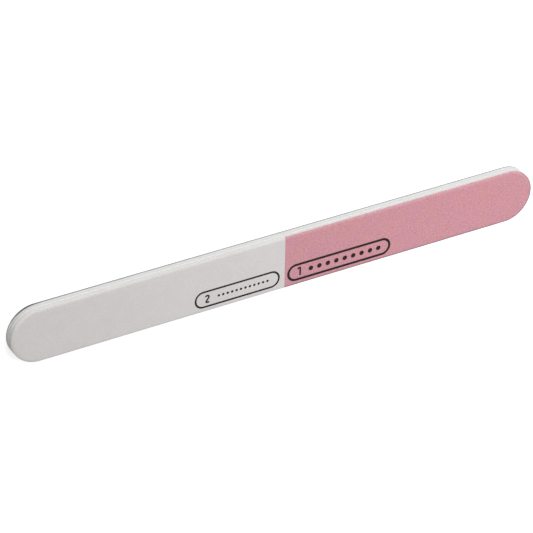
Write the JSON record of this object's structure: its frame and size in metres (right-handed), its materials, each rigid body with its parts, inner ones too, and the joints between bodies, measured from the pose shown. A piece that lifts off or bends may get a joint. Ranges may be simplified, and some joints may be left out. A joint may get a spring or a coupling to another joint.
{
  "type": "nail buffer",
  "caption": "Flat round-ended nail buffer board: a foam and stiff-core laminate faced with fine and coarse abrasive sheets on the front and a polishing sheet on the rear.",
  "frame": {"origin": "middle of the rear face, which lies at z = 0", "axes": "+X along the board towards the coarse half, +Y across the board, +Z out of the two-grade front face"},
  "size_m": [0.178, 0.018, 0.0034],
  "materials": {
    "fine_abrasive": "matt, very fine grit on white backing",
    "coarse_abrasive": "matt, medium grit in a pink bond",
    "polish_abrasive": "satin, grey polishing film",
    "white_foam": "matt closed-cell foam, die cut",
    "stiffener_plastic": "matt sheet plastic, die cut",
    "adhesive_tape": "clear double-sided tape, seen only at its cut edge"
  },
  "bodies": {
    "root": {"rear_polish_sheet": "polish_abrasive", "rear_sheet_adhesive": "adhesive_tape", "rear_foam": "white_foam", "rear_core_adhesive": "adhesive_tape", "stiffener_strip": "stiffener_plastic", "front_core_adhesive": "adhesive_tape", "front_foam": "white_foam", "front_fine_adhesive": "adhesive_tape", "front_coarse_adhesive": "adhesive_tape", "front_fine_sheet": "fine_abrasive", "front_coarse_sheet": "coarse_abrasive"}
  },
  "joints": []
}
